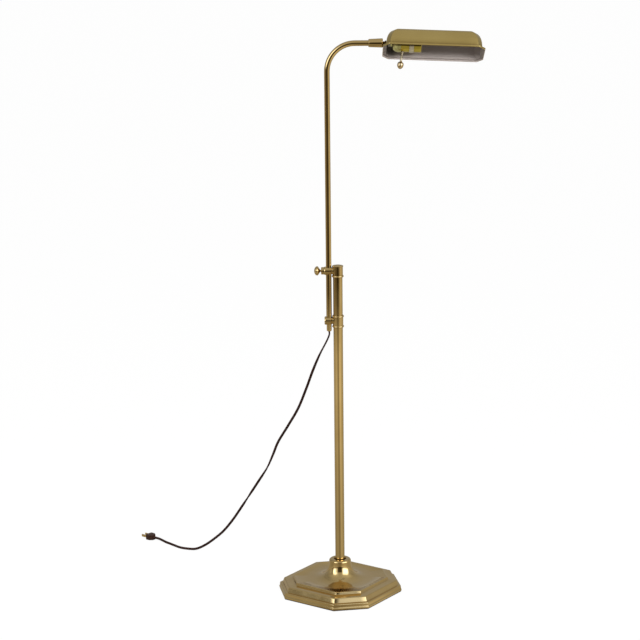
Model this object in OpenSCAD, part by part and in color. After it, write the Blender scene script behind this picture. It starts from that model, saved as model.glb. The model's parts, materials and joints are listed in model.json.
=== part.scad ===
// Brass floor lamp with a sliding arm.
// A square moulded base with cut corners carries a round column. A thinner arm tube slides and turns
// beside the column in two collars, bends over at the top and ends in a ball swivel, which carries
// a long eight-sided shade with a lampholder inside it. All sizes are millimetres.
// The origin is on the floor under the column, Z is up and the arm reaches out along +X.

/* [Base] */
// Width of the square base across its long edges
base_w = 261; // [230:1:290]
// Width of each cut corner
base_corner_w = 84; // [50:1:95]
// Thickness of the brass shell
base_wall = 1.8; // [1.2:0.1:2.4]
// Thickness of the felt pad
felt_t = 2; // [1:0.5:4]
// How far the felt stays in from the edge of the shell
felt_inset = 1; // [0.5:0.1:1.5]
// Height of the upright lip
lip_h = 6; // [4:0.5:9]
// Step between the lip and the lower round
lip_step = 1.6; // [0.6:0.1:3]
// Width of the lower round
lower_round_w = 5.4; // [4:0.2:8]
// Height of the lower round
lower_round_h = 8.6; // [6:0.2:11]
// Step between the two rounds
mid_step = 1.5; // [0.6:0.1:3]
// Width of the upper round
upper_round_w = 6.5; // [5:0.5:12]
// Height of the upper round
upper_round_h = 8.8; // [5:0.2:10]
// Width of the hollow
hollow_w = 15; // [8:0.5:17]
// Height of the hollow
hollow_h = 3.4; // [2.6:0.2:8]
// Width of the bead round the deck
deck_bead_w = 3; // [2:0.5:5]
// Height of the bead round the deck
deck_bead_h = 4; // [2:0.5:5]
// Depth of the deck below its bead
deck_drop = 0.8; // [0.4:0.1:1.5]

/* [Bell] */
// Height of the bell above the deck
bell_h = 46.8; // [40:0.1:70]
// Radius of the bell just below its shoulder
bell_r = 26; // [24:0.1:30]
// How much wider the cone is at the deck
bell_spread = 9.5; // [3:0.5:12]
// How much further the foot of the cone sweeps out
bell_sweep = 31; // [15:0.5:36]
// Radius of the rounded shoulder
shoulder_r = 5; // [4:0.5:9]
// Radius of the cup round the foot of the column
cup_r = 14.5; // [12.5:0.1:16]
// Depth of the cup
cup_depth = 4; // [2:0.5:6]

/* [Ballast] */
// Thickness of the iron ballast
ballast_t = 22; // [15:0.5:26]
// How far the ballast stays in from the edge of the base
ballast_inset = 39; // [38:0.5:60]
// Radius of the threaded rod
rod_r = 5; // [4:0.5:6]
// Outer radius of the washer
washer_r = 15; // [11:0.5:20]
// Thickness of the washer
washer_t = 2; // [1:0.2:3]
// Width of the nut across its flats
nut_w = 17; // [14.5:0.5:22]
// Thickness of the nut
nut_t = 4.4; // [3:0.2:5]
// Height of the threaded plug in the foot of the column
plug_h = 20; // [12:1:30]

/* [Column] */
// Outer radius of the column
column_r = 11.1; // [9.5:0.1:12]
// Wall of the column tube
column_wall = 1.2; // [0.8:0.1:2]
// Length of the column
column_h = 717; // [600:1:900]
// Radius of the flange of the cap
cap_r = 13.1; // [12.7:0.1:15]
// Thickness of the flange of the cap
cap_t = 3; // [2:0.1:5]
// Rise of the domed top of the cap
cap_dome = 2; // [1:0.1:4]
// Depth of the spigot of the cap in the column
cap_spigot = 12; // [6:1:20]

/* [Collars] */
// Distance between the column's axis and the arm's axis
arm_gap = 21; // [20.5:0.5:26]
// Wall of the sleeves on the column
sleeve_wall = 0.95; // [0.8:0.05:1.6]
// Height of the upper sleeve
upper_h = 25; // [23:0.5:35]
// Height of the lower sleeve
lower_h = 30; // [26:0.5:40]
// Radius of the round section of the beads
bead_r = 2.2; // [1.5:0.1:2.4]
// Radius of the eye barrels
eye_r = 9.9; // [9:0.1:10.5]
// How far the eye barrels reach past the arm's axis
eye_reach = 10.6; // [9.5:0.1:13]
// Radius of the neck between barrel and sleeve
eye_neck_r = 8.2; // [7.5:0.1:9]
// Round on the end of the barrels
eye_round = 2; // [1:0.5:3]

/* [Clamp] */
// Radius of the flanged bush that the clamp screw runs in
bush_r = 8.7; // [6:0.1:9.5]
// Thickness of the flange of the bush
bush_t = 7; // [4:0.5:9]
// Radius of the clamp screw
screw_r = 2.5; // [2:0.1:3.5]
// Length of the bare neck between the bush and the knob when clamped
screw_neck = 2; // [1.5:0.1:4]
// Radius of the knob
knob_r = 10.8; // [8:0.1:14]
// Length of the knob
knob_l = 14.3; // [10:0.1:20]

/* [Arm] */
// Outer radius of the arm tube
arm_r = 6.5; // [5.5:0.1:6.8]
// Wall of the arm tube
arm_wall = 1; // [0.8:0.1:1.5]
// Length of the upright part below the bend
arm_h = 583.5; // [520:0.5:700]
// Radius of the bend
bend_r = 64; // [40:1:90]
// Length of the level part from the bend to the ball
arm_reach = 57; // [45:1:120]
// Length of the cord bushing that shows below the lower eye
bushing_l = 15.5; // [8:0.5:25]
// Radius of the cord bushing
bushing_r = 5.85; // [5:0.05:5.9]

/* [Ball swivel] */
// Radius of the ball
ball_r = 8; // [7.2:0.1:9]
// Radius of the stem through the ball
stem_r = 4; // [3:0.1:4.2]
// Distance from the ball's centre to the mouth of the cup
mouth_x = 6.8; // [6:0.1:7.5]
// Radius of the mouth of the cup
mouth_r = 6.8; // [6.5:0.05:6.9]
// Outer radius of the cup at the mouth
cup_big_r = 10.5; // [9.9:0.1:12]
// Outer radius of the cup at the arm
cup_small_r = 9.3; // [8.5:0.1:10.5]
// Length of the cup
cup_l = 33; // [26:0.5:45]
// Thickness of the friction washer behind the ball
seat_t = 2; // [1:0.1:3]

/* [Shade] */
// Length of the shade at its rim
shade_l = 230.4; // [200:0.2:280]
// Width of the shade at its rim
shade_w = 114; // [96:1:130]
// Height of the shade
shade_h = 45.5; // [42:0.5:55]
// Sheet thickness of the shade
shade_wall = 1.2; // [0.8:0.1:1.6]
// Length that each corner cut takes off the side
shade_cut_l = 13.5; // [8:0.5:20]
// Width that each corner cut takes off the end
shade_cut_w = 19; // [12:0.2:26]
// Height of the upright rim
rim_h = 4.5; // [3:0.5:7]
// Width of the brim inside the rim
brim_w = 7; // [5:0.5:8]
// How far the curved wall leans in above the brim
crown_w = 24; // [18:0.5:26]
// How far the wall of each cut corner leans in above the brim
crown_corner_w = 32.5; // [24:0.5:34]
// Power of the sine and cosine in the wall's curve, where less is fuller
crown_power = 0.91; // [0.8:0.01:1]
// Height of the stem's axis above the rim
stem_h = 19.9; // [19:0.1:22]
// Distance from the ball's centre to the end of the rim
shade_start = 6.6; // [5.5:0.1:12]
// Thickness of the stem collar outside the shade
collar_t = 2.9; // [2:0.1:3.4]
// Radius of the stem collar outside the shade
collar_r = 6; // [5:0.5:6]
// Thickness of the nut inside the shade
shade_nut_t = 4.5; // [3:0.1:6]
// Width of the nut inside the shade across its flats
shade_nut_w = 14; // [11:0.5:14]

/* [Lampholder] */
// Radius of the lampholder cap
holder_cap_r = 19.3; // [18.5:0.1:20.5]
// Length of the domed part of the cap
holder_dome_l = 15; // [10:0.5:20]
// Length of the neck of the cap
holder_neck_l = 4; // [2:0.5:6]
// Length of the straight skirt of the cap
holder_skirt_l = 5; // [3:0.5:8]
// Length of the lampholder shell past the cap
holder_l = 46; // [40:0.5:55]
// Sheet thickness of cap and shell
holder_wall = 0.7; // [0.5:0.1:1]
// Distance from the cap to the pale ring
ring_x = 19; // [14:0.5:24]
// Width of the pale ring
ring_w = 10.4; // [6:0.2:14]
// Thickness of the pale ring
ring_t = 1.3; // [0.8:0.1:2]
// Inner radius of the screw shell for the bulb
bulb_r = 13.2; // [12.8:0.1:13.6]
// Thickness of the insulating liner
liner_t = 0.9; // [0.5:0.1:1.2]
// Thickness of the insulating core
core_t = 12; // [8:0.5:15]

/* [Switch] */
// Distance from the cap's edge to the switch stem
switch_x = 3.5; // [3:0.5:6]
// Lean of the switch stem
switch_lean = 6; // [0:1:10]
// Radius of the switch stem
switch_r = 2; // [1.5:0.1:2.4]
// Length of the stem that shows
switch_l = 23; // [15:0.5:30]
// Radius of the switch knob
pip_r = 7.3; // [5:0.1:9]
// Length of the switch knob
pip_l = 18; // [12:0.5:24]

/* [Cord and plug] */
// Radius of the plain cord
cord_r = 2; // [1.8:0.1:2.4]
// Length of the plug body
plug_l = 27; // [22:0.5:34]
// Width of the plug body
plug_w = 22; // [19:0.5:26]
// Thickness of the plug body
plug_t = 13; // [11:0.5:14]
// Distance between the two blades
blade_gap = 12.7; // [12:0.1:13]
// Length of the blades
blade_l = 17; // [14:0.5:19]
// Width of the blades
blade_w = 6.4; // [5:0.1:7]
// Thickness of the blades
blade_t = 1.5; // [1.3:0.1:1.8]

/* [Pose] */
// Distance between the upper and the lower collar
slide_gap = 89.5; // [2:0.5:400]
// How far the base is turned under the arm, seen from above
base_turn = 11; // [0:1:45]
// How far the shade droops
shade_droop = 2.4; // [-10:0.1:12]
// How far the shade is rolled about its stem
shade_roll = -22.5; // [-90:0.5:90]

/* [Fits] */
// Running clearance between sliding or turning pieces
run_fit = 0.05; // [0.02:0.01:0.1]
// Loose clearance round screws and in clearance holes
loose_fit = 0.5; // [0.2:0.1:1]

/* [Hidden] */
$fn = 96;

brass = "#b8923f";
arc_n = 9; // steps along each curve of a moulding
over = 1; // how far a cut runs past the solid

// Heights on the base
lip_z = felt_t + lip_h;
step_up = 0.6;
lower_z = lip_z + step_up + lower_round_h;
upper_z = lower_z + step_up + upper_round_h;
hollow_z = upper_z + hollow_h;
bead_z = hollow_z + deck_bead_h;
deck_z = bead_z - deck_drop;
bead_land = 1.2;
bead_x = lip_step + lower_round_w + mid_step + upper_round_w + hollow_w;
deck_x = bead_x + deck_bead_w + bead_land + deck_drop;
bell_z = deck_z + bell_h;
foot_z = bell_z - cup_depth;
ballast_z = deck_z - base_wall - ballast_t;
washer_z = ballast_z - washer_t;
nut_z = washer_z - nut_t;
rod_top = foot_z + plug_h - 4;

// Heights on the column
column_top = foot_z + column_h;
upper_z0 = column_top - upper_h;
lower_z0 = upper_z0 - slide_gap - lower_h;
bead_in = 3; // height of a bead's middle above the end of its sleeve
sleeve_in = column_r + run_fit;
sleeve_out = sleeve_in + sleeve_wall;
upper_eye_z = upper_z0 + 15.5;
lower_eye_z = lower_z0 + 16.5;
arm_in = arm_r + run_fit;
eye_x = arm_gap + eye_reach;
eye_neck_x = arm_gap - arm_r + 0.7;

// Places along the clamp
tip_gap = 0.3; // the screw's tip faces the round arm tube
tip_x = arm_gap + arm_r + tip_gap;
bush_x = eye_x + bush_t;
knob_x = bush_x + screw_neck;
spigot_r = screw_r + 1.6;

// Places along the arm
arm_z0 = lower_eye_z - 3; // the arm stands on a shoulder just below the middle of the eye
bend_z = arm_z0 + arm_h;
arm_z = bend_z + bend_r;
ball_x = bend_r + arm_reach - arm_gap;
seat_x = -ball_r * cos(asin((stem_r + 1) / ball_r)) - tip_gap;
arm_end = seat_x - seat_t;
bushing_z = lower_eye_z - eye_r - bushing_l;

// Places along the stem, counted from the ball's centre
wall_x = shade_start + brim_w;
collar_x = wall_x + 0.3;
shade_nut_x = shade_start + brim_w + shade_wall + 4.5;
holder_x = shade_nut_x + shade_nut_t;
dome_x = holder_x + holder_neck_l;
skirt_x = dome_x + holder_dome_l;
cap_x = skirt_x + holder_skirt_l;
holder_r = holder_cap_r - holder_wall - run_fit;
holder_end = cap_x + holder_l;
liner_r = holder_r - holder_wall - run_fit;
core_r = liner_r - liner_t - run_fit;
core_x = cap_x - 1;
shade_cx = shade_start + shade_l / 2;
switch_in = 6; // how far the switch stem reaches into the lampholder
pip_bore = 4; // depth of the hole in the switch knob

// The cord's way: out of the bushing, down past the column and over the floor to the plug
cord_lie = cord_r + 0.2;
cord_way = [[-21, 0, bushing_z], [-21, 1, bushing_z - 9], [-28, 10, 612], [-45, 32, 575], [-62, 54, 531],
    [-79, 76, 481], [-100, 102, 425], [-127, 132, 372], [-152, 159, 325], [-167, 173, 286],
    [-182, 187, 250], [-204, 206, 211], [-228, 224, 170], [-251, 240, 131], [-275, 256, 92],
    [-300, 270, 58], [-325, 279, 34], [-348, 285, 16], [-370, 288, 5], [-392, 291, cord_lie],
    [-414, 301, cord_lie], [-434, 321, cord_lie], [-450, 338, 2.7], [-466, 353, 5.2],
    [-475, 361, plug_t / 2], [-484, 368, plug_t / 2]];
cord_steps = 3; // rings on each stretch between two points
plug_at = [-484, 368, plug_t / 2];
plug_turn = 142;

// Points of a quarter round that rises and then levels out, from [x0, z0] to [x1, z1]
function round_up(x0, z0, x1, z1) =
    [for (k = [0:arc_n]) let (t = 90 * k / arc_n)
        [x0 + (x1 - x0) * (1 - cos(t)), z0 + (z1 - z0) * sin(t)]];

// Points of a quarter hollow that runs level and then rises
function hollow_up(x0, z0, x1, z1) =
    [for (k = [0:arc_n]) let (t = 90 * k / arc_n)
        [x0 + (x1 - x0) * sin(t), z0 + (z1 - z0) * (1 - cos(t))]];

// Section of the base's edge: distance in from the edge, and height
function base_section() = concat(
    [[0, felt_t], [0, lip_z]],
    round_up(lip_step, lip_z + step_up, lip_step + lower_round_w, lower_z),
    round_up(lip_step + lower_round_w + mid_step, lower_z + step_up, bead_x - hollow_w, upper_z),
    hollow_up(bead_x - hollow_w + 0.01, upper_z, bead_x, hollow_z),
    round_up(bead_x + 0.01, hollow_z, bead_x + deck_bead_w, bead_z),
    [[deck_x - deck_drop, bead_z], [deck_x, deck_z]]);

// The same section for the hollow inside the shell
function base_inside() = concat(
    [[base_wall, felt_t - over], [base_wall, lip_z - base_wall]],
    [for (p = base_section()) if (p[1] > lip_z) [p[0] + base_wall, p[1] - base_wall]]);

// Section of the shade's wall: distance in from the rim, and height above the rim's edge
function shade_section(lean) = concat(
    [[0, 0], [0, rim_h]],
    [for (k = [0:arc_n]) let (t = 90 * k / arc_n)
        [brim_w + lean * (1 - pow(cos(t), crown_power)), rim_h + (shade_h - rim_h) * pow(sin(t), crown_power)]]);

// The same section for the hollow inside the shade
function shade_inside(lean) = concat(
    [[shade_wall, -over], [shade_wall, rim_h - shade_wall]],
    [for (p = shade_section(lean)) if (p[0] > 0) [p[0] + shade_wall, p[1] - shade_wall]]);

// A long bar across the part whose two sides follow a section, with its faces to plus and minus X
module moulded_bar(half, section, run) {
    last = len(section) - 1;
    rotate([90, 0, 0])
        translate([0, 0, -run / 2])
            linear_extrude(run)
                polygon(concat([for (p = section) [half - p[0], p[1]]],
                    [for (k = [last:-1:0]) [section[k][0] - half, section[k][1]]]));
}

// Square with cut corners whose eight edges all follow one section
module moulded_square(flat_w, corner_w, section) {
    corner_half = (flat_w * sqrt(2) - corner_w) / 2;
    rotate([0, 0, base_turn])
        intersection() {
            rotate([0, 0, 45])
                moulded_bar(flat_w / 2, section, flat_w * 2);
            rotate([0, 0, -45])
                moulded_bar(flat_w / 2, section, flat_w * 2);
            moulded_bar(corner_half, section, flat_w * 2);
            rotate([0, 0, 90])
                moulded_bar(corner_half, section, flat_w * 2);
        }
}

// Long eight-sided tray whose straight sides follow one section and its cut corners another
module moulded_tray(section, corner_section) {
    side = shade_w / 2;
    end = shade_l / 2;
    turn = atan2(shade_cut_l, shade_cut_w);
    corner = (end - shade_cut_l) * cos(turn) + side * sin(turn);
    run = shade_l * 2;
    intersection() {
        moulded_bar(end, section, run);
        rotate([0, 0, 90])
            moulded_bar(side, section, run);
        rotate([0, 0, turn])
            moulded_bar(corner, corner_section, run);
        rotate([0, 0, -turn])
            moulded_bar(corner, corner_section, run);
    }
}

// Turns what stands along Z so that it lies along X
module lie_x() {
    rotate([0, 90, 0])
        children();
}

// A plain ring
module ring(r_out, r_in, h) {
    difference() {
        cylinder(r = r_out, h = h);
        translate([0, 0, -over])
            cylinder(r = r_in, h = h + 2 * over);
    }
}

// A six-sided nut with a round hole
module hex_nut(flats, r_in, h) {
    difference() {
        cylinder(r = flats / sqrt(3), h = h, $fn = 6);
        translate([0, 0, -over])
            cylinder(r = r_in, h = h + 2 * over);
    }
}

// The frame of the shade, with its origin at the ball and X along the stem
module at_shade() {
    translate([ball_x, 0, arm_z])
        rotate([0, shade_droop, 0])
            rotate([shade_roll, 0, 0])
                children();
}

// The frame of the switch, with Z along its stem and the origin on the lampholder's shell
module at_switch() {
    translate([cap_x + switch_x, 0, -holder_r])
        rotate([0, 180 + switch_lean, 0])
            children();
}

// Outline of the bell from the deck up to its shoulder and into the cup
function bell_outline() = concat(
    [for (k = [0:30]) let (t = cos(3 * k))
        [bell_r + bell_spread * t + bell_sweep * (1 - sqrt(1 - pow(t, 5))),
            deck_z + (bell_h - shoulder_r) * (1 - t)]],
    [for (k = [1:6]) let (t = 15 * k)
        [bell_r - shoulder_r * (1 - cos(t)), bell_z - shoulder_r * (1 - sin(t))]],
    [[cup_r + 1, bell_z], [cup_r, bell_z - 1], [cup_r, foot_z]]);

module base_shell() {
    color(brass)
        difference() {
            union() {
                difference() {
                    moulded_square(base_w, base_corner_w, base_section());
                    moulded_square(base_w, base_corner_w, base_inside());
                }
                rotate_extrude()
                    polygon(concat([[0, deck_z - base_wall]],
                        [[bell_r + bell_spread + bell_sweep, deck_z - base_wall]],
                        bell_outline(), [[0, foot_z]]));
            }
            // hollow of the bell
            translate([0, 0, deck_z - base_wall - over])
                cylinder(r = bell_r - base_wall - 1, h = foot_z - 2 * base_wall - deck_z + base_wall + over);
            // hole for the rod
            cylinder(r = rod_r + loose_fit, h = bell_z);
        }
}

module base_felt() {
    color("#33302c")
        moulded_square(base_w, base_corner_w, [[felt_inset, 0], [felt_inset, felt_t]]);
}

module base_ballast() {
    color("#4a4a48")
        difference() {
            translate([0, 0, ballast_z])
                moulded_square(base_w, base_corner_w, [[ballast_inset, 0], [ballast_inset, ballast_t]]);
            cylinder(r = rod_r + loose_fit, h = deck_z);
        }
}

module base_rod() {
    color("#8d8d88")
        translate([0, 0, nut_z])
            cylinder(r = rod_r, h = rod_top - nut_z);
}

module base_washer() {
    color("#8d8d88")
        translate([0, 0, washer_z])
            ring(washer_r, rod_r + run_fit, washer_t);
}

module base_nut() {
    color("#8d8d88")
        translate([0, 0, nut_z])
            hex_nut(nut_w, rod_r + run_fit, nut_t);
}

module column_plug() {
    color(brass)
        translate([0, 0, foot_z])
            ring(column_r - column_wall - run_fit, rod_r + run_fit, plug_h);
}

module column_tube() {
    color(brass)
        translate([0, 0, foot_z])
            ring(column_r, column_r - column_wall, column_h);
}

module column_cap() {
    spigot = column_r - column_wall - run_fit;
    color(brass)
        translate([0, 0, column_top])
            rotate_extrude()
                polygon(concat(
                    [[0, -cap_spigot], [spigot - 0.5, -cap_spigot], [spigot, -cap_spigot + 0.5], [spigot, 0],
                        [cap_r - 0.5, 0], [cap_r, 0.5], [cap_r, cap_t - 1], [cap_r - 0.8, cap_t]],
                    [for (k = [0:8]) let (t = k / 8) [(cap_r - 2.2) * (1 - t), cap_t + cap_dome * (1 - pow(1 - t, 2))]]));
}

// Sleeve on the column with beads at the given heights
module sleeve(h, beads) {
    cylinder(r = sleeve_out, h = h);
    for (z = beads)
        translate([0, 0, z])
            rotate_extrude()
                translate([sleeve_out - 0.4, 0])
                    circle(r = bead_r, $fn = 24);
}

// Round barrel that reaches from the sleeve to past the arm, with a thinner neck
module eye_barrel() {
    rotate([0, -90, 0])
        rotate_extrude()
            polygon([[0, column_r - 2], [eye_neck_r, column_r - 2], [eye_neck_r, eye_neck_x - 1],
                [eye_r - 0.8, eye_neck_x], [eye_r, eye_neck_x + 0.8], [eye_r, eye_x - eye_round],
                [eye_r - eye_round * 0.3, eye_x - eye_round * 0.3], [eye_r - eye_round, eye_x], [0, eye_x]]);
}

module upper_collar() {
    color(brass)
        difference() {
            union() {
                translate([0, 0, upper_z0])
                    sleeve(upper_h, [bead_in]);
                translate([0, 0, upper_eye_z])
                    eye_barrel();
            }
            // bore for the column
            translate([0, 0, upper_z0 - over])
                cylinder(r = sleeve_in, h = upper_h + 2 * over);
            // bore for the arm
            translate([-arm_gap, 0, upper_eye_z - eye_r - over])
                cylinder(r = arm_in, h = 2 * (eye_r + over));
            // hole for the bush of the clamp screw
            translate([-arm_gap, 0, upper_eye_z])
                rotate([0, -90, 0])
                    cylinder(r = spigot_r + run_fit, h = eye_reach + over);
        }
}

module clamp_bush() {
    color(brass)
        translate([-bush_x, 0, upper_eye_z])
            lie_x()
                difference() {
                    union() {
                        translate([0, 0, 1])
                            cylinder(r = bush_r, h = bush_t - 1);
                        cylinder(r1 = bush_r - 1, r2 = bush_r, h = 1);
                        cylinder(r = spigot_r, h = bush_x - tip_x - 0.5);
                    }
                    translate([0, 0, -over])
                        cylinder(r = screw_r + run_fit, h = bush_x);
                }
}

module clamp_screw() {
    color(brass)
        translate([-knob_x - 6, 0, upper_eye_z])
            lie_x()
                cylinder(r = screw_r, h = knob_x + 6 - tip_x);
}

module clamp_knob() {
    color(brass)
        translate([-knob_x, 0, upper_eye_z])
            rotate([0, -90, 0])
                difference() {
                    rotate_extrude()
                        polygon(concat([[0, 0], [knob_r * 0.34, 0]],
                            [for (k = [0:14]) let (t = k / 14)
                                [knob_r * (0.34 + 0.66 * sin(90 * t)), knob_l * (0.07 + 0.43 * t)]],
                            [for (k = [1:12]) let (t = 90 * k / 12) [knob_r * cos(t), knob_l * (0.5 + 0.5 * sin(t))]]));
                    translate([0, 0, -over])
                        cylinder(r = screw_r + run_fit, h = over + 6);
                }
}

module lower_collar() {
    color(brass)
        difference() {
            union() {
                translate([0, 0, lower_z0])
                    sleeve(lower_h, [bead_in, lower_h - bead_in]);
                translate([0, 0, lower_eye_z])
                    eye_barrel();
            }
            // bore for the column
            translate([0, 0, lower_z0 - over])
                cylinder(r = sleeve_in, h = lower_h + 2 * over);
            // bore for the arm, down to the shoulder that it stands on
            translate([-arm_gap, 0, arm_z0])
                cylinder(r = arm_in, h = 2 * eye_r);
            // bore for the bushing
            translate([-arm_gap, 0, lower_eye_z - eye_r - over])
                cylinder(r = bushing_r + run_fit, h = 2 * eye_r);
        }
}

module cord_bushing() {
    hole = cord_r - 0.6;
    color(brass)
        translate([-arm_gap, 0, bushing_z])
            rotate_extrude()
                polygon([[hole, 0], [bushing_r - 1.8, 0], [bushing_r - 0.9, 0.5], [bushing_r - 0.3, 1.6], [bushing_r, 3.5],
                    [bushing_r, arm_z0 - bushing_z], [bushing_r - 1.6, arm_z0 - bushing_z],
                    [bushing_r - 1.6, 4], [hole, 4]]);
}

module arm_tube() {
    color(brass) {
        translate([-arm_gap, 0, arm_z0])
            ring(arm_r, arm_r - arm_wall, arm_h);
        translate([bend_r - arm_gap, 0, bend_z])
            rotate([90, 0, 0])
                rotate([0, 0, 90])
                    rotate_extrude(angle = 90)
                        translate([bend_r, 0])
                            difference() {
                                circle(r = arm_r);
                                circle(r = arm_r - arm_wall);
                            }
        translate([bend_r - arm_gap, 0, arm_z])
            lie_x()
                ring(arm_r, arm_r - arm_wall, arm_reach + arm_end);
    }
}

module swivel_cup() {
    x0 = mouth_x - cup_l;
    lip = mouth_x - ball_r * cos(asin(mouth_r / ball_r)) - 0.3;
    color(brass)
        translate([ball_x, 0, arm_z])
            lie_x()
                rotate_extrude()
                    polygon([[arm_in, x0], [cup_small_r - 1.2, x0], [cup_small_r - 0.3, x0 + 0.6],
                        [cup_small_r, x0 + 2], [cup_big_r, mouth_x - 2.2], [cup_big_r - 0.3, mouth_x - 0.9],
                        [cup_big_r - 1.3, mouth_x], [mouth_r, mouth_x], [mouth_r, mouth_x - lip],
                        [ball_r + run_fit, mouth_x - lip], [ball_r + run_fit, arm_end], [arm_in, arm_end]]);
}

module swivel_washer() {
    color("#6a6a66")
        translate([ball_x + arm_end, 0, arm_z])
            lie_x()
                ring(ball_r, stem_r + 1, seat_t);
}

module swivel_ball() {
    color(brass)
        at_shade()
            difference() {
                sphere(r = ball_r);
                translate([-ball_r - over, 0, 0])
                    lie_x()
                        cylinder(r = stem_r + run_fit, h = 2 * (ball_r + over));
            }
}

module swivel_stem() {
    color(brass)
        at_shade()
            translate([-ball_r * 0.7, 0, 0])
                lie_x()
                    ring(stem_r, stem_r - 1.4, holder_x + 3 + ball_r * 0.7);
}

module stem_collar() {
    color(brass)
        at_shade()
            translate([collar_x - collar_t, 0, 0])
                lie_x()
                    ring(collar_r, stem_r + run_fit, collar_t);
}

module shade_shell() {
    color("#ab8c45")
        at_shade()
            difference() {
                translate([shade_cx, 0, -stem_h])
                    difference() {
                        moulded_tray(shade_section(crown_w), shade_section(crown_corner_w));
                        moulded_tray(shade_inside(crown_w), shade_inside(crown_corner_w));
                    }
                // hole for the stem
                translate([shade_start, 0, 0])
                    lie_x()
                        cylinder(r = stem_r + run_fit, h = shade_cx);
            }
}

module shade_nut() {
    color("#8d8d88")
        at_shade()
            translate([shade_nut_x, 0, 0])
                lie_x()
                    hex_nut(shade_nut_w, stem_r + run_fit, shade_nut_t);
}

// Outline of the lampholder cap, dome first, grown outwards by grow
function cap_dome_line(grow) =
    [for (k = [0:12]) let (t = 90 * k / 12)
        [(shade_nut_w / 2 + 1) * (1 - sin(t)) + (holder_cap_r + grow) * sin(t),
            dome_x - grow + (holder_dome_l + grow) * (1 - cos(t))]];

module holder_cap() {
    neck = shade_nut_w / 2;
    dome_out = cap_dome_line(0);
    dome_in = cap_dome_line(-holder_wall);
    color(brass)
        at_shade()
            lie_x()
                rotate_extrude()
                    polygon(concat([[stem_r + run_fit, holder_x], [neck, holder_x]], dome_out,
                        [[holder_cap_r, cap_x]],
                        [[holder_cap_r - holder_wall, cap_x]],
                        [for (k = [12:-1:0]) dome_in[k]],
                        [[stem_r + run_fit, dome_x + holder_wall]]));
}

module holder_shell() {
    color(brass)
        at_shade()
            difference() {
                lie_x()
                    rotate_extrude()
                        polygon([[holder_r, skirt_x], [holder_r, holder_end - 0.8], [holder_r - 0.4, holder_end],
                            [holder_r - holder_wall, holder_end], [holder_r - holder_wall, skirt_x]]);
                at_switch()
                    translate([0, 0, -holder_r / 2])
                        cylinder(r = switch_r + loose_fit, h = holder_r);
            }
}

module holder_ring() {
    color("#cfcac0")
        at_shade()
            translate([cap_x + ring_x, 0, 0])
                lie_x()
                    ring(holder_r + run_fit + ring_t, holder_r + run_fit, ring_w);
}

module holder_liner() {
    color("#ddd8c8")
        at_shade()
            difference() {
                translate([skirt_x + 1, 0, 0])
                    lie_x()
                        ring(liner_r, liner_r - liner_t, holder_end - 3 - skirt_x - 1);
                at_switch()
                    translate([0, 0, -holder_r / 2])
                        cylinder(r = switch_r + loose_fit, h = holder_r);
            }
}

module holder_core() {
    color("#2a2624")
        at_shade()
            difference() {
                translate([core_x, 0, 0])
                    lie_x()
                        cylinder(r = core_r, h = core_t);
                at_switch()
                    translate([0, 0, -holder_r / 2])
                        cylinder(r = switch_r + run_fit, h = holder_r);
            }
}

module holder_screw_shell() {
    color("#c9a75a")
        at_shade()
            translate([core_x + core_t, 0, 0])
                lie_x()
                    ring(bulb_r + 0.7, bulb_r, holder_end - 4 - core_x - core_t);
}

module holder_contact() {
    color("#c9a75a")
        at_shade()
            translate([core_x + core_t, 0, 0])
                lie_x() {
                    cylinder(r = 4, h = 1);
                    cylinder(r = 2, h = 3);
                }
}

module switch_stem() {
    color("#c9b27a")
        at_shade()
            at_switch()
                translate([0, 0, -switch_in])
                    cylinder(r = switch_r, h = switch_in + switch_l + pip_bore);
}

module switch_knob() {
    color(brass)
        at_shade()
            at_switch()
                translate([0, 0, switch_l])
                    difference() {
                        rotate_extrude()
                            polygon(concat([[0, 0], [switch_r + 0.9, 0], [switch_r + 1.1, 0.8], [switch_r + 0.9, 1.6]],
                                [for (k = [0:10]) let (t = 90 * k / 10)
                                    [switch_r + 1 + (pip_r - switch_r - 1) * sin(t), 2.4 + (pip_l * 0.42 - 2.4) * (1 - cos(t))]],
                                [for (k = [1:12]) let (t = 90 * k / 12)
                                    [pip_r * pow(cos(t), 0.9), pip_l * (0.42 + 0.58 * sin(t))]]));
                        translate([0, 0, -over])
                            cylinder(r = switch_r + run_fit, h = pip_bore + over);
                    }
}

// Point at t between b and c on a smooth curve through a, b, c and d
function curve_at(a, b, c, d, t) =
    0.5 * (2 * b + (c - a) * t + (2 * a - 5 * b + 4 * c - d) * t * t + (3 * b - a - 3 * c + d) * t * t * t);

// The rings' middles, none of them lower than the cord lies
function cord_line() = let (n = len(cord_way) - 1)
    [for (k = [0:n - 1]) let (
            b = cord_way[k], c = cord_way[k + 1],
            a = k > 0 ? cord_way[k - 1] : 2 * b - c,
            d = k < n - 1 ? cord_way[k + 2] : 2 * c - b)
        for (s = [0:(k < n - 1 ? cord_steps - 1 : cord_steps)])
            let (p = curve_at(a, b, c, d, s / cord_steps)) [p[0], p[1], max(p[2], cord_lie)]];

// A round tube along a list of points, as one solid; the first ring lies level
module tube_along(line, r, sides) {
    last = len(line) - 1;
    across = [0.64, 0.77, 0];
    rings = [for (k = [0:last]) let (
            go = line[min(k + 1, last)] - line[max(k - 1, 0)],
            way = k == 0 ? [0, 0, -1] : go / norm(go),
            flat = cross(way, across),
            u = flat / norm(flat),
            v = cross(way, u))
        for (s = [0:sides - 1]) line[k] + r * (cos(360 * s / sides) * u + sin(360 * s / sides) * v)];
    sides_faces = [for (k = [0:last - 1]) for (s = [0:sides - 1])
        let (a = k * sides + s, b = k * sides + (s + 1) % sides)
            for (f = [[a, b, b + sides], [a, b + sides, a + sides]]) f];
    polyhedron(rings, concat([[for (s = [sides - 1:-1:0]) s]], sides_faces,
        [[for (s = [0:sides - 1]) last * sides + s]]));
}

module power_cord() {
    color("#3a2418")
        tube_along(cord_line(), cord_r, 8);
}

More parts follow.
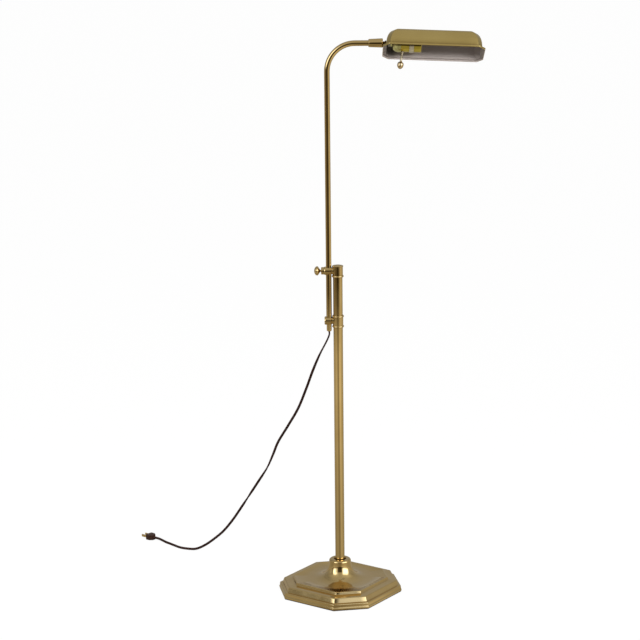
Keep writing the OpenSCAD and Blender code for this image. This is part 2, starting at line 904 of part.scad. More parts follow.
// The frame of the plug, with X along its blades and the origin where the cord enters
module at_plug() {
    translate(plug_at)
        rotate([0, 0, plug_turn])
            children();
}

module plug_body() {
    neck_l = 9;
    color("#33201a")
        at_plug()
            difference() {
                union() {
                    lie_x()
                        cylinder(r1 = cord_r + 1, r2 = cord_r + 2.2, h = neck_l);
                    translate([neck_l, 0, 0])
                        linear_extrude(plug_t, center = true)
                            polygon([[-3, -plug_w * 0.22], [2, -plug_w * 0.4], [5, -plug_w / 2],
                                [plug_l - neck_l - 2, -plug_w / 2], [plug_l - neck_l, -plug_w / 2 + 2],
                                [plug_l - neck_l, plug_w / 2 - 2], [plug_l - neck_l - 2, plug_w / 2],
                                [5, plug_w / 2], [2, plug_w * 0.4], [-3, plug_w * 0.22]]);
                }
                for (s = [-1, 1])
                    translate([plug_l - 6 - run_fit, s * blade_gap / 2 - blade_t / 2 - run_fit, -blade_w / 2 - run_fit])
                        cube([6 + over, blade_t + 2 * run_fit, blade_w + 2 * run_fit]);
            }
}

module plug_blades() {
    color("#c2a868")
        at_plug()
            for (s = [-1, 1])
                translate([plug_l - 6, s * blade_gap / 2 - blade_t / 2, -blade_w / 2])
                    cube([6 + blade_l, blade_t, blade_w]);
}

base_shell();
base_felt();
base_ballast();
base_rod();
base_washer();
base_nut();
column_plug();
column_tube();
column_cap();
upper_collar();
clamp_bush();
clamp_screw();
clamp_knob();
lower_collar();
cord_bushing();
arm_tube();
swivel_cup();
swivel_washer();
swivel_ball();
swivel_stem();
stem_collar();
shade_shell();
shade_nut();
holder_cap();
holder_shell();
holder_ring();
holder_liner();
holder_core();
holder_screw_shell();
holder_contact();
switch_stem();
switch_knob();
power_cord();
plug_body();
plug_blades();
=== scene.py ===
# Brass reading floor lamp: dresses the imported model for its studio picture.
import json
import math

import bmesh
import bpy
import numpy as np
from mathutils import Matrix, Vector


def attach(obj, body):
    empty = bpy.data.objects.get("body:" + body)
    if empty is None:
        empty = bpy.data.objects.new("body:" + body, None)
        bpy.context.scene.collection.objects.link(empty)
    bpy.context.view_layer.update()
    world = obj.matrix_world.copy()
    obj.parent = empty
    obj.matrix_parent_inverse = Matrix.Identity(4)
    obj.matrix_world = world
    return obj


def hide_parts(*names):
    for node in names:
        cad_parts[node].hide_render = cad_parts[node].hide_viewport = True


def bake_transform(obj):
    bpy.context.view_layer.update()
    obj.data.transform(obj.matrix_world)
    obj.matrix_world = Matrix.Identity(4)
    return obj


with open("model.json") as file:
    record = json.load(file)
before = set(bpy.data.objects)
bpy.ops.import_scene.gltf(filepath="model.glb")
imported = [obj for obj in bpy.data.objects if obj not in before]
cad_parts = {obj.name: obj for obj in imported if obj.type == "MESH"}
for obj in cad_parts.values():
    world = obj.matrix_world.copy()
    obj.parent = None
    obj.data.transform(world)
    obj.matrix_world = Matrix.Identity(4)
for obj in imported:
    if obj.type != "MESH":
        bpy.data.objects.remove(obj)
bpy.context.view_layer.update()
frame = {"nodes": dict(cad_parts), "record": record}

mm = 0.001   # metres


# Camera

cameraView = {
    "place": (0.0766, -4.566, 1.6864),  # metres, in front of the column
    "lens": 112.5,       # mm, on a sensor of the next width
    "sensor": 36,        # mm
    "pitch": 12.59,      # degrees that it looks down
    "turn": 1.492,       # degrees that it is turned to the left
    "roll": -0.58,       # degrees that it is tipped
    "farthest": 100,     # metres that it sees
}


# The camera at its place, turned about the upright, then pitched and rolled about its own axes
def makeCamera(view):
    camera = bpy.data.objects.new("camera", bpy.data.cameras.new("camera"))
    bpy.context.scene.collection.objects.link(camera)
    camera.data.sensor_width = view["sensor"]
    camera.data.lens = view["lens"]
    camera.data.clip_end = view["farthest"]
    turned = Matrix.Rotation(math.radians(view["turn"]), 4, "Z")
    pitched = Matrix.Rotation(math.radians(90 - view["pitch"]), 4, "X")
    rolled = Matrix.Rotation(math.radians(view["roll"]), 4, "Z")
    camera.matrix_world = Matrix.Translation(view["place"]) @ turned @ pitched @ rolled
    bpy.context.scene.camera = camera


makeCamera(cameraView)
print("camera set")


# Colours and node trees

# sRGB hex code to a linear colour: the sRGB curve undone channel by channel
def linearColour(code):
    parts = [int(code[i:i + 2], 16) / 255 for i in (1, 3, 5)]
    return [c / 12.92 if c <= 0.04045 else ((c + 0.055) / 1.055) ** 2.4 for c in parts] + [1.0]


# Adds a node, sets its properties and sockets, and links the sockets of others into it
def addNode(tree, kind, settings=None, links=None):
    node = tree.nodes.new(kind)
    for key, value in (settings or {}).items():
        if isinstance(key, str) and hasattr(node, key):
            setattr(node, key, value)
        else:
            node.inputs[key].default_value = value
    for key, socket in (links or {}).items():
        tree.links.new(socket, node.inputs[key])
    return node


# An empty material with its output node
def newMaterial(name):
    material = bpy.data.materials.new(name)
    material.use_nodes = True
    tree = material.node_tree
    tree.nodes.clear()
    return material, tree, addNode(tree, "ShaderNodeOutputMaterial")


# Gives a colour ramp its stops, each a place from 0 to 1 and a linear colour
def setStops(ramp, stops):
    elements = ramp.color_ramp.elements
    while len(elements) < len(stops):
        elements.new(0.5)
    for element, (place, colour) in zip(elements, stops):
        element.position = place
        element.color = colour


# most values of a noise texture lie between these two
noiseLow, noiseHigh = 0.3, 0.7


# Brass that was turned or spun, polished and lacquered. The eye gets a warm yellow metal with clear
# reflections that wander a little, a faint drift of tone, and brown in its nooks that is partly tarnish
# and partly painted shade.
def polishedBrass(name, look):
    material, tree, output = newMaterial(name)
    place = addNode(tree, "ShaderNodeTexCoord")
    drift = addNode(tree, "ShaderNodeTexNoise", {"Scale": 1 / (look["driftSize"] * mm), "Detail": 2.0},
                    {"Vector": place.outputs["Object"]})
    tone = addNode(tree, "ShaderNodeValToRGB", {}, {"Fac": drift.outputs["Fac"]})
    setStops(tone, [(noiseLow, linearColour(look["darkTone"])),
                    (noiseHigh, linearColour(look["lightTone"]))])
    # ambient occlusion finds the nooks, which turn brown: real tarnish, plus painted shade in the grooves,
    # at the toe by the floor and on the shade's wall above its brim
    nook = addNode(tree, "ShaderNodeAmbientOcclusion", {"samples": 8, "Distance": look["nookSize"] * mm})
    tarnishAndShadeShare = addNode(tree, "ShaderNodeMapRange",
                    {"From Min": look["nookDeep"], "From Max": look["nookOpen"],
                     "To Min": look["tarnishAndShade"], "To Max": 0.0}, {"Value": nook.outputs["AO"]})
    colour = addNode(tree, "ShaderNodeMix", {"data_type": "RGBA", 7: linearColour(look["tarnishAndShadeTone"])},
                     {0: tarnishAndShadeShare.outputs["Result"], 6: tone.outputs["Color"]})
    smear = addNode(tree, "ShaderNodeTexNoise", {"Scale": 1 / (look["smearSize"] * mm), "Detail": 1.0},
                    {"Vector": place.outputs["Object"]})
    rough = addNode(tree, "ShaderNodeMapRange",
                    {"From Min": noiseLow, "From Max": noiseHigh,
                     "To Min": look["roughLow"], "To Max": look["roughHigh"]},
                    {"Value": smear.outputs["Fac"]})
    wave = addNode(tree, "ShaderNodeTexNoise", {"Scale": 1 / (look["waveSize"] * mm), "Detail": 0.0},
                   {"Vector": place.outputs["Object"]})
    relief = addNode(tree, "ShaderNodeBump", {"Strength": 1.0, "Distance": look["waveDepth"] * mm},
                     {"Height": wave.outputs["Fac"]})
    shader = addNode(tree, "ShaderNodeBsdfPrincipled", {"Metallic": 1.0},
                     {"Base Color": colour.outputs[2], "Roughness": rough.outputs["Result"],
                      "Normal": relief.outputs["Normal"]})
    tree.links.new(shader.outputs[0], output.inputs[0])
    return material


# sizes in mm; nookDeep and nookOpen are how open a place is where the tarnish and painted shade is full and
# where it ends
brassLook = {
    "darkTone": "#D2B478", "lightTone": "#DCC086", "driftSize": 60,
    "tarnishAndShadeTone": "#54390F", "tarnishAndShade": 0.85, "nookSize": 5, "nookDeep": 0.25, "nookOpen": 0.9,
    "roughLow": 0.06, "roughHigh": 0.11, "smearSize": 25,
    "waveSize": 45, "waveDepth": 0.05,
}
# sheet brass, lacquered but polished less finely, so its reflections run together; its wide, deep nook
# darkening paints the dark band of shade and reflection on the wall just above the brim
shadeLook = dict(brassLook, darkTone="#CDB36F", lightTone="#D3BA75", roughLow=0.17, roughHigh=0.20,
                 smearSize=60, waveSize=80, waveDepth=0.04, tarnishAndShadeTone="#6A4718", tarnishAndShade=0.8, nookSize=16,
                 nookDeep=0.55, nookOpen=0.97)
# thin drawn brass under a yellow lacquer
holderLook = dict(brassLook, darkTone="#CCB84A", lightTone="#DAC75A", roughLow=0.10, roughHigh=0.16,
                  waveSize=12, waveDepth=0.02)
# turned and knurled brass, worn pale and a little dull by fingers
switchLook = dict(brassLook, darkTone="#C9AE80", lightTone="#D6BD90", roughLow=0.2, roughHigh=0.28)
# plain stamped brass, satin from the press
bladeLook = dict(brassLook, roughLow=0.2, roughHigh=0.3)
# a nipple cut from rod, made dark to paint the dark reflection of the cup and shade close around it
neckLook = dict(brassLook, darkTone="#5B4320", lightTone="#6E5228", roughLow=0.28, roughHigh=0.38,
                tarnishAndShadeTone="#241605", nookSize=12)
# spun brass, paler, greener and a little duller than the rest
capLook = dict(brassLook, darkTone="#C6C384", lightTone="#D2CF92", roughLow=0.2, roughHigh=0.3)
# thin rod, drawn and left dull, so it gathers light from all round and looks pale
stemLook = dict(brassLook, darkTone="#D9C79E", lightTone="#E6D7B4", roughLow=0.42, roughHigh=0.5)


# A plain finish with a little mottling: dyed felt, moulded rubber, cast iron, plated steel. Its gloss is
# the usual half where the look gives none.
def plainFinish(name, look):
    material, tree, output = newMaterial(name)
    place = addNode(tree, "ShaderNodeTexCoord")
    grain = addNode(tree, "ShaderNodeTexNoise", {"Scale": 1 / (look["grain"] * mm), "Detail": 3.0},
                    {"Vector": place.outputs["Object"]})
    tone = addNode(tree, "ShaderNodeValToRGB", {}, {"Fac": grain.outputs["Fac"]})
    setStops(tone, [(noiseLow, linearColour(look["darkTone"])),
                    (noiseHigh, linearColour(look["lightTone"]))])
    relief = addNode(tree, "ShaderNodeBump", {"Strength": 1.0, "Distance": look["depth"] * mm},
                     {"Height": grain.outputs["Fac"]})
    shader = addNode(tree, "ShaderNodeBsdfPrincipled",
                     {"Metallic": look["metallic"], "Roughness": look["rough"],
                      "Specular IOR Level": look.get("gloss", 0.5)},
                     {"Base Color": tone.outputs["Color"], "Normal": relief.outputs["Normal"]})
    tree.links.new(shader.outputs[0], output.inputs[0])
    return material


finishes = {
    "polished_brass": polishedBrass("polishedBrass", brassLook),
    "shade_brass": polishedBrass("satinSheetBrass", shadeLook),
    "holder_brass": polishedBrass("yellowLacqueredBrass", holderLook),
    "switch_brass": polishedBrass("wornTurnedBrass", switchLook),
    "blade_brass": polishedBrass("stampedBrass", bladeLook),
    # porous bronze, dark with oil
    "bronze_washer": plainFinish("oiledBronze", {"darkTone": "#4E3B22", "lightTone": "#66502F", "grain": 0.6,
                                                 "depth": 0.02, "metallic": 1.0, "rough": 0.4}),
    # bright nickel plate, warm white with soft reflections
    "nickel": plainFinish("nickelPlate", {"darkTone": "#DDD5C0", "lightTone": "#EAE3D2", "grain": 4,
                                          "depth": 0.01, "metallic": 1.0, "rough": 0.22}),
    # zinc plate, dull and bluish
    "zinc_steel": plainFinish("zincPlate", {"darkTone": "#8B8B86", "lightTone": "#A3A39D", "grain": 2,
                                            "depth": 0.01, "metallic": 1.0, "rough": 0.38}),
    # sand cast iron, grey and gritty
    "cast_iron": plainFinish("castIron", {"darkTone": "#34322F", "lightTone": "#484541", "grain": 1.2,
                                          "depth": 0.15, "metallic": 0.6, "rough": 0.7}),
    # pressed wool felt, dark and matt, its fibres drawn coarse enough to show
    "felt": plainFinish("pressedFelt", {"darkTone": "#241E1A", "lightTone": "#352C26", "grain": 0.8,
                                        "depth": 0.2, "metallic": 0.0, "rough": 0.95}),
    # waxed card, cream and dull
    "insulation": plainFinish("waxedCard", {"darkTone": "#CFC6AE", "lightTone": "#DDD5C0", "grain": 1.5,
                                            "depth": 0.03, "metallic": 0.0, "rough": 0.7}),
    # pressed phenolic, nearly black with a dull gloss
    "phenolic": plainFinish("pressedPhenolic", {"darkTone": "#1C1917", "lightTone": "#282421", "grain": 3,
                                                "depth": 0.01, "metallic": 0.0, "rough": 0.35}),
    # soft brown vinyl and moulded rubber, hardly shiny
    "cord": plainFinish("brownVinyl", {"darkTone": "#2A1712", "lightTone": "#371F18", "grain": 12,
                                       "depth": 0.01, "metallic": 0.0, "rough": 0.5, "gloss": 0.2}),
    "plug": plainFinish("brownRubber", {"darkTone": "#2F1C15", "lightTone": "#3D261D", "grain": 0.7,
                                        "depth": 0.02, "metallic": 0.0, "rough": 0.5, "gloss": 0.25}),
}
neckBrass = polishedBrass("shadeDarkenedThreadedBrass", neckLook)
capBrass = polishedBrass("paleGreenBrass", capLook)
stemBrass = polishedBrass("dullDrawnBrass", stemLook)


# Gives a CAD node its finish, in place of the one that it came with
def dressNode(name, finish):
    node = frame["nodes"][name]
    if node.material_slots:
        node.material_slots[0].material = finish
    else:
        node.data.materials.append(finish)


# each node takes the finish of its slot in the record, and three of them then one of their own
for part in frame["record"]["subparts"]:
    dressNode(part["node"], finishes[part["material_slot"]])
for name in ("swivel_stem", "stem_collar"):
    dressNode(name, neckBrass)
dressNode("holder_cap", capBrass)
print("finishes made")


# Surfaces

# A grid of points, rows by columns, becomes a skin of quads whose columns close into a loop, and whose
# rows do too where ring is true. Edges that turn by more than sharpAngle degrees stay sharp, and
# rowMaterial gives each row's place in the list of materials.
def meshFromGrid(name, points, materials, sharpAngle, ring=False, rowMaterial=None):
    rows, columns = points.shape[:2]
    index = np.arange(rows * columns).reshape(rows, columns)
    if ring:
        index = np.vstack([index, index[:1]])
    across = np.roll(index, -1, axis=1)
    quads = np.stack([index[:-1], across[:-1], across[1:], index[1:]], axis=-1).reshape(-1, 4)
    mesh = bpy.data.meshes.new(name)
    mesh.from_pydata(points.reshape(-1, 3), [], quads)
    for material in materials:
        mesh.materials.append(material)
    if rowMaterial is not None:
        mesh.polygons.foreach_set("material_index", np.repeat(rowMaterial, columns).astype(np.int32))
    mesh.polygons.foreach_set("use_smooth", np.ones(len(mesh.polygons), bool))
    cleanMesh(mesh)
    mesh.set_sharp_from_angle(angle=math.radians(sharpAngle))
    piece = bpy.data.objects.new(name, mesh)
    bpy.context.scene.collection.objects.link(piece)
    return piece


# metres, within which points count as one and an edge as nothing
weldGap, tinyEdge = 2e-6, 1e-7


# Merges the points that coincide at poles and folds, and turns the faces outwards
def cleanMesh(mesh):
    work = bmesh.new()
    work.from_mesh(mesh)
    bmesh.ops.remove_doubles(work, verts=work.verts, dist=weldGap)
    bmesh.ops.dissolve_degenerate(work, edges=work.edges, dist=tinyEdge)
    bmesh.ops.recalc_face_normals(work, faces=work.faces)
    work.to_mesh(mesh)
    work.free()


# Loops in the plane become rows of points, each row at its own height
def atHeights(loops, heights):
    return np.concatenate([loops, np.broadcast_to(heights[:, None, None], loops.shape[:2] + (1,))], axis=2)


# A row of the skin that is one point over and over, which closes an end
def poleRow(point, columns):
    return np.broadcast_to(np.asarray(point, float), (1, columns, 3))


# Catmull-Rom: for four points a, b, c and d in a row, the stretch from b to c is the cubic through them
# whose slopes are half of c - a and half of d - b
def smoothCurve(points, steps):
    points = np.asarray(points, float)
    b, c = points[:-1, None], points[1:, None]
    a = np.vstack([2 * points[0] - points[1], points[:-2]])[:, None]
    d = np.vstack([points[2:], 2 * points[-1] - points[-2]])[:, None]
    t = (np.arange(steps) / steps)[None, :, None]
    curve = 0.5 * (2 * b + (c - a) * t + (2 * a - 5 * b + 4 * c - d) * t ** 2
                   + (3 * b - a - 3 * c + d) * t ** 3)
    return np.vstack([curve.reshape(-1, 3), points[-1]])


# The same line with its points a constant distance apart, and each point's share of the length
def evenSteps(line, step):
    along = np.concatenate([[0], np.cumsum(np.linalg.norm(np.diff(line, axis=0), axis=1))])
    at = np.linspace(0, along[-1], int(round(along[-1] / step)) + 1)
    return np.stack([np.interp(at, along, column) for column in line.T], axis=1), at / along[-1]


# The same outline with its arrises eased: its points lie an even step apart, and each is the mean of
# its neighbours within reach, weighted by a raised cosine
def easedOutline(points, step, reach):
    points = evenSteps(np.asarray(points, float), step)[0]
    count = int(round(reach / step))
    weights = 0.5 + 0.5 * np.cos(np.pi * np.arange(-count, count + 1) / (count + 1))
    weights /= weights.sum()
    longer = np.pad(points, ((count, count), (0, 0)), mode="reflect", reflect_type="odd")
    return np.stack([np.convolve(column, weights, mode="valid") for column in longer.T], axis=1)


# Quarter of an ellipse from one point to the other that rises and then levels out, with its sine and
# cosine raised to power
def quarterRound(start, end, steps=10, power=1.0):
    t = np.linspace(0, np.pi / 2, steps + 1)
    across, up = 1 - np.cos(t) ** power, np.sin(t) ** power
    return np.stack([start[0] + (end[0] - start[0]) * across, start[1] + (end[1] - start[1]) * up], axis=1)


# Quarter of an ellipse that runs level and then rises
def quarterHollow(start, end, steps=10):
    return quarterRound(end, start, steps)[::-1]


# Outline of a plate with cut corners, one row for each inset: the ends and sides move in by inset, the
# four cut corners by cutInset, and the eight corners become arcs of radius corner. The middle of an arc
# is where two edge lines meet once they have moved in by its radius too, and a point of the outline is
# that middle, or a place between two of them, plus the radius in the direction that the edge faces.
def cutCornerLoops(plan, inset, cutInset, corner):
    turn = math.atan2(plan["cutLength"], plan["cutWidth"])
    end, side = plan["length"] / 2, plan["width"] / 2
    cut = (end - plan["cutLength"]) * math.cos(turn) + side * math.sin(turn)
    x = np.maximum(end - inset - corner, 0)
    y = np.maximum(side - inset - corner, 0)
    reach = cut - cutInset - corner
    yAtEnd = np.clip((reach - x * math.cos(turn)) / math.sin(turn), 0, y)
    xAtSide = np.clip((reach - y * math.sin(turn)) / math.cos(turn), 0, x)
    none = np.zeros_like(x)
    middles = np.stack([[x, none], [x, yAtEnd], [xAtSide, y], [none, y]]).transpose(2, 0, 1)
    # a quarter of the loop runs along the end, round an arc, along the cut, round an arc and along the
    # side: t counts these stretches, and the weights are each middle's share at their six stops
    stops = np.arange(6)
    t = np.concatenate([k + np.arange(n) / n for k, n in enumerate(plan["steps"])] + [[5]])
    weights = [[1, 0, 0, 0, 0, 0], [0, 1, 1, 0, 0, 0], [0, 0, 0, 1, 1, 0], [0, 0, 0, 0, 0, 1]]
    share = np.stack([np.interp(t, stops, weight) for weight in weights])
    facing = np.interp(t, stops, [0, 0, turn, turn, np.pi / 2, np.pi / 2])
    way = np.stack([np.cos(facing), np.sin(facing)], axis=1)
    quarter = np.einsum("rkc,kn->rnc", middles, share) + corner[:, None, None] * way
    back = quarter[:, ::-1]
    return np.concatenate([quarter, back * [-1, 1], -quarter, back * [1, -1]], axis=1)


# Cord

powerCord = {
    "width": 6.2,          # mm over both conductors
    "thickness": 4.3,      # mm
    "groove": 0.2,         # share of the thickness lost between the conductors
    "squareness": 0.8,     # power on the sine and cosine of the section, 1 for an ellipse
    "grooveWidth": 0.14,   # share of the width
    "around": 28,          # points round the section
    "step": 2.0,           # mm between the rings
    "routeSteps": 12,      # points of the curve from one place of the route to the next
    "clear": 0.1,          # mm between the cord and the floor
    "floorEnd": (-0.300, 0.270, 0.0),  # where it no longer follows the sliding collar
    # metres, from the bushing under the collar, in the air and then on the floor, to the plug
    "route": [(-0.021, 0, 0.6396), (-0.021, 0.001, 0.6306), (-0.028, 0.010, 0.612),
              (-0.045, 0.032, 0.575), (-0.062, 0.054, 0.531), (-0.079, 0.076, 0.481),
              (-0.100, 0.102, 0.425), (-0.127, 0.132, 0.372), (-0.152, 0.159, 0.325),
              (-0.167, 0.173, 0.286), (-0.182, 0.187, 0.250), (-0.204, 0.206, 0.211),
              (-0.228, 0.224, 0.170), (-0.251, 0.240, 0.131), (-0.275, 0.256, 0.092),
              (-0.300, 0.270, 0.058), (-0.325, 0.279, 0.034), (-0.348, 0.285, 0.016),
              (-0.370, 0.288, 0.005), (-0.392, 0.291, 0.0022), (-0.414, 0.301, 0.0022),
              (-0.434, 0.321, 0.0022), (-0.450, 0.338, 0.0027), (-0.466, 0.353, 0.0052),
              (-0.475, 0.361, 0.0065), (-0.484, 0.368, 0.0065)],
    # how the flat cord turns over along its length: share of the length, degrees
    "twist": [(0, 90), (0.06, 95), (0.14, 175), (0.42, 195), (0.49, 270), (0.54, 345), (0.575, 365),
              (0.61, 450), (0.65, 530), (0.70, 540), (1, 540)],
}


# The section is an ellipse with its sine and cosine raised to a power, less a bell-shaped groove along
# the middle of both flats. It is carried along the route and turned by the twist, and each ring's middle
# is at least the ring's own half height above the floor.
def makeCord(size):
    line, share = evenSteps(smoothCurve(size["route"], size["routeSteps"]), size["step"] * mm)
    along = np.gradient(line, axis=0)
    along /= np.linalg.norm(along, axis=1, keepdims=True)
    wide = np.cross([0.0, 1.0, 0.0], along)
    wide /= np.linalg.norm(wide, axis=1, keepdims=True)
    thin = np.cross(along, wide)
    turn = np.radians(np.interp(share, *np.array(size["twist"], float).T))[:, None]
    wide, thin = wide * np.cos(turn) + thin * np.sin(turn), thin * np.cos(turn) - wide * np.sin(turn)
    angle = np.linspace(0, 2 * np.pi, size["around"], endpoint=False)
    power = size["squareness"]
    x = size["width"] / 2 * np.sign(np.cos(angle)) * np.abs(np.cos(angle)) ** power
    y = size["thickness"] / 2 * np.sign(np.sin(angle)) * np.abs(np.sin(angle)) ** power
    y *= 1 - size["groove"] * np.exp(-(x / (size["grooveWidth"] * size["width"])) ** 2)
    section = mm * (x[None, :, None] * wide[:, None] + y[None, :, None] * thin[:, None])
    line[:, 2] = np.maximum(line[:, 2], size["clear"] * mm - section[:, :, 2].min(axis=1))
    points = np.concatenate([poleRow(line[0], len(x)), line[:, None] + section, poleRow(line[-1], len(x))])
    cord = meshFromGrid("cord", points, [finishes["cord"]], sharpAngle=60)
    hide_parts("power_cord")
    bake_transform(cord)


makeCord(powerCord)


# Base

baseSize = {
    # mm over the sides and lost to the cut corners, and the points of an outline's five stretches
    "plan": {"length": 261, "width": 261, "cutLength": 59.4, "cutWidth": 59.4, "steps": (6, 4, 6, 4, 6)},
    "turn": 56,              # degrees from +X to the middle of one long edge
    "wall": 1.8,
    "felt": 2,               # mm, thickness of the pad that the shell stands on
    # the moulded edge from the felt up, each moulding as inset and rise in mm
    "mouldings": {"toe": (-0.8, 3.8), "flare": (1.5, 2.4), "band": (0.5, 5.6), "lowerRound": (2.2, 2.2),
                  "quirk": (4.0, 0.4), "slope": (3.1, 8.8), "upperRound": (3.4, 2.6), "ledge": (15.9, 1.9),
                  "rise": (0.8, 3.8), "bead": (2.2, 1.0)},
    "land": 1.2, "drop": 0.8,  # mm, the bead's flat top and the step from it down to the deck
    "mitre": 1.7,            # mm, round on the upright corners
    "arris": 0.5,            # mm, round on the arrises of the mouldings
    "fineStep": 0.4,         # mm between the points of the mouldings
    "innerKnee": (20, 23),   # inset and height where the inside of the shell turns down
    "innerFoot": 6.2,        # mm, height where it turns upright
    # the bell: height above the deck, radius at the shoulder, and how far and by what powers its side
    # widens on the way down
    "bell": 46.1, "bellRadius": 26, "spread": 9.5, "spreadPower": 1.45, "sweep": 31, "sweepPower": 5,
    "bellRows": 61,
    "flow": 4,               # mm over which the bell's foot is eased into the deck
    "flowStep": 1.0,         # mm between the points of the bell
    "shoulder": 5, "shoulderSteps": 7,  # mm, round at the top of the bell
    "cup": 14.5, "cupDepth": 4, "cupBevel": 1, "cupArris": 0.4,  # mm, the cup that takes the column
    "rodHole": 5.5,          # mm, radius of the hole for the rod
    # the pad: inset of its edge, round of the edge, width and corner of its face, and gap to the floor
    "padInset": 1.3, "padRound": 0.2, "padFace": 3.3, "padCorner": 2.7, "padGap": 0.1,
}


# Section of the moulded edge as inset and height, built upwards from piece to piece: tucked toe, flare,
# upright band, quarter round, sunk quirk, steep slope, quarter round, hollow ledge, rise, bead and deck
def mouldedEdge(size):
    line = np.array([(-size["mouldings"]["toe"][0], size["felt"])], float)
    for name, run in size["mouldings"].items():
        end = line[-1] + run
        if name in ("lowerRound", "upperRound", "bead"):
            line = np.vstack([line, quarterRound(line[-1], end)[1:]])
        elif name == "ledge":
            line = np.vstack([line, quarterHollow(line[-1], end)[1:]])
        else:
            line = np.vstack([line, end])
    x, z = line[-1]
    deck = [(x + size["land"], z), (x + size["land"] + size["drop"], z - size["drop"])]
    return easedOutline(np.vstack([line, deck]), size["fineStep"], size["arris"])


# Section of the bell as radius and height, from the deck up over the shoulder and down into the cup.
# With t falling from 1 to 0 on the way up, the radius is the shoulder's, plus spread times a power of t,
# plus sweep times 1 less the root of 1 less another power of t, which lies flat on the deck where t is 1.
def bellOutline(size, deck):
    top = deck + size["bell"]
    t = np.cos(np.linspace(0, np.pi / 2, size["bellRows"]))
    radius = (size["bellRadius"] + size["spread"] * t ** size["spreadPower"]
              + size["sweep"] * (1 - np.sqrt(1 - t ** size["sweepPower"])))
    side = np.stack([radius, deck + (size["bell"] - size["shoulder"]) * (1 - t)], axis=1)
    foot = [side[0, 0] + 2 * size["flow"], deck]
    side = easedOutline(np.vstack([foot, side]), size["flowStep"], size["flow"])
    shoulder = quarterRound(side[-1], (size["bellRadius"] - size["shoulder"], top), size["shoulderSteps"])
    cup = [(size["cup"] + size["cupBevel"], top), (size["cup"], top - size["cupBevel"]),
           (size["cup"], top - size["cupDepth"]), (size["rodHole"], top - size["cupDepth"])]
    crest = easedOutline(np.vstack([shoulder, cup]), size["fineStep"], size["cupArris"])
    return np.vstack([side, crest[1:]])


# Points of the base in mm, turned about the column and put in metres
def spinBase(size, points):
    return points @ np.array(Matrix.Rotation(math.radians(size["turn"]), 3, "Z")).T * mm


# Each row of the skin is the plan's loop moved in by the section's inset, or a round in the directions
# of the deck's own loop. The section runs on inside the shell and closes on itself.
def makeBase(size):
    edge = mouldedEdge(size)
    deck = edge[-1, 1]
    bell = bellOutline(size, deck)
    wall = size["wall"]
    inside = [(edge[-1, 0] + wall, deck - wall), size["innerKnee"], (wall, size["innerFoot"]),
              (wall, size["felt"])]
    section = np.vstack([edge, inside])
    corner = np.full(len(section), float(size["mitre"]))
    loops = cutCornerLoops(size["plan"], section[:, 0], section[:, 0], corner)
    moulded = atHeights(loops, section[:, 1])
    outside, hidden = moulded[:len(edge)], moulded[len(edge):]
    way = loops[len(edge) - 1]
    way = way / np.linalg.norm(way, axis=1, keepdims=True)
    underCup = bell[-1, 1] - wall
    innerRadius = size["bellRadius"] - 2 * wall
    core = [(size["rodHole"], underCup), (innerRadius, underCup), (innerRadius, deck - wall)]
    rounds = np.vstack([bell, core])
    turned = atHeights(rounds[:, :1, None] * way[None], rounds[:, 1])
    points = spinBase(size, np.concatenate([outside, turned, hidden]))
    base = meshFromGrid("base", points, [finishes["polished_brass"]], sharpAngle=50, ring=True)
    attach(base, "stand")
    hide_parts("base_shell")


# The felt pad is the same plan, moved in a little, from the floor up to the shell. Its rows go from the
# middle of the underside over the edge, which bulges halfway up, to the middle of the top.
def makePad(size):
    edge, rounded, face = np.array([0, size["padRound"], size["padFace"]]) + size["padInset"]
    inset = np.array([face, rounded, edge, rounded, face])
    low, high = size["padGap"], size["felt"]
    height = np.array([low, low, high / 2, high, high])
    loops = cutCornerLoops(size["plan"], inset, inset, np.full(len(inset), size["padCorner"]))
    columns = loops.shape[1]
    points = np.concatenate([poleRow((0, 0, low), columns), atHeights(loops, height),
                             poleRow((0, 0, high), columns)])
    pad = meshFromGrid("feltPad", spinBase(size, points), [finishes["felt"]], sharpAngle=50)
    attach(pad, "stand")
    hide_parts("base_felt")


makeBase(baseSize)
makePad(baseSize)
print("base made")


# Shade

shadeSize = {
    "plan": {"length": 230.4, "width": 114, "cutLength": 13.5, "cutWidth": 19, "steps": (3, 3, 3, 3, 4)},
    "height": 45.5, "wall": 1.2,
    "rim": 4.5,          # mm, height of the upright lip
    "brim": 7,           # mm, width of the flat above the lip
    "crown": 24, "cornerCrown": 32.5,  # mm that the arch runs in, at the sides and at the cut corners
    "crownPower": 0.91,  # power on the arch's sine and cosine, 1 for an ellipse
    "archSteps": 36,
    "step": 0.6,         # mm between the points of the section
    "corner": 1.6,       # mm, round on the upright corners
    "arris": 0.9,        # mm, round on the lip and brim
    "enamelFrom": 2,     # rows inside the lip, where the enamel begins
    "start": 6.6, "axisHeight": 19.9,  # mm from the ball to the near end, and from the lip up to the stem
    "droop": 2.4, "roll": -22.5,       # degrees that the stem points down, and the turn about it
    "ball": (100, 0, 1309.5),          # mm, centre of the ball
}
enamelLook = {
    "darkTone": "#CBC0BA", "lightTone": "#D8CDC8", "rough": 0.42,
    "grain": 1.2,              # mm, coarser than real spray, so that it shows
    "cornerShadowTone": "#26231A", "cornerShadow": 0.86,
    "cornerShadowPlace": (25, 40, 4),  # mm in the shade's frame, middle of the painted shadow in the inside corner behind the lampholder's cap
    "cornerShadowReach": (11, 26),     # mm from there to where it begins to fade and where it ends
}


# Points in the shade's own frame, X along its stem from the ball, put in their place
def inShadeFrame(size, points):
    place = (Matrix.Translation([c * mm for c in size["ball"]])
             @ Matrix.Rotation(math.radians(size["droop"]), 4, "Y")
             @ Matrix.Rotation(math.radians(size["roll"]), 4, "X"))
    return points * mm @ np.array(place.to_3x3()).T + np.array(place.translation)
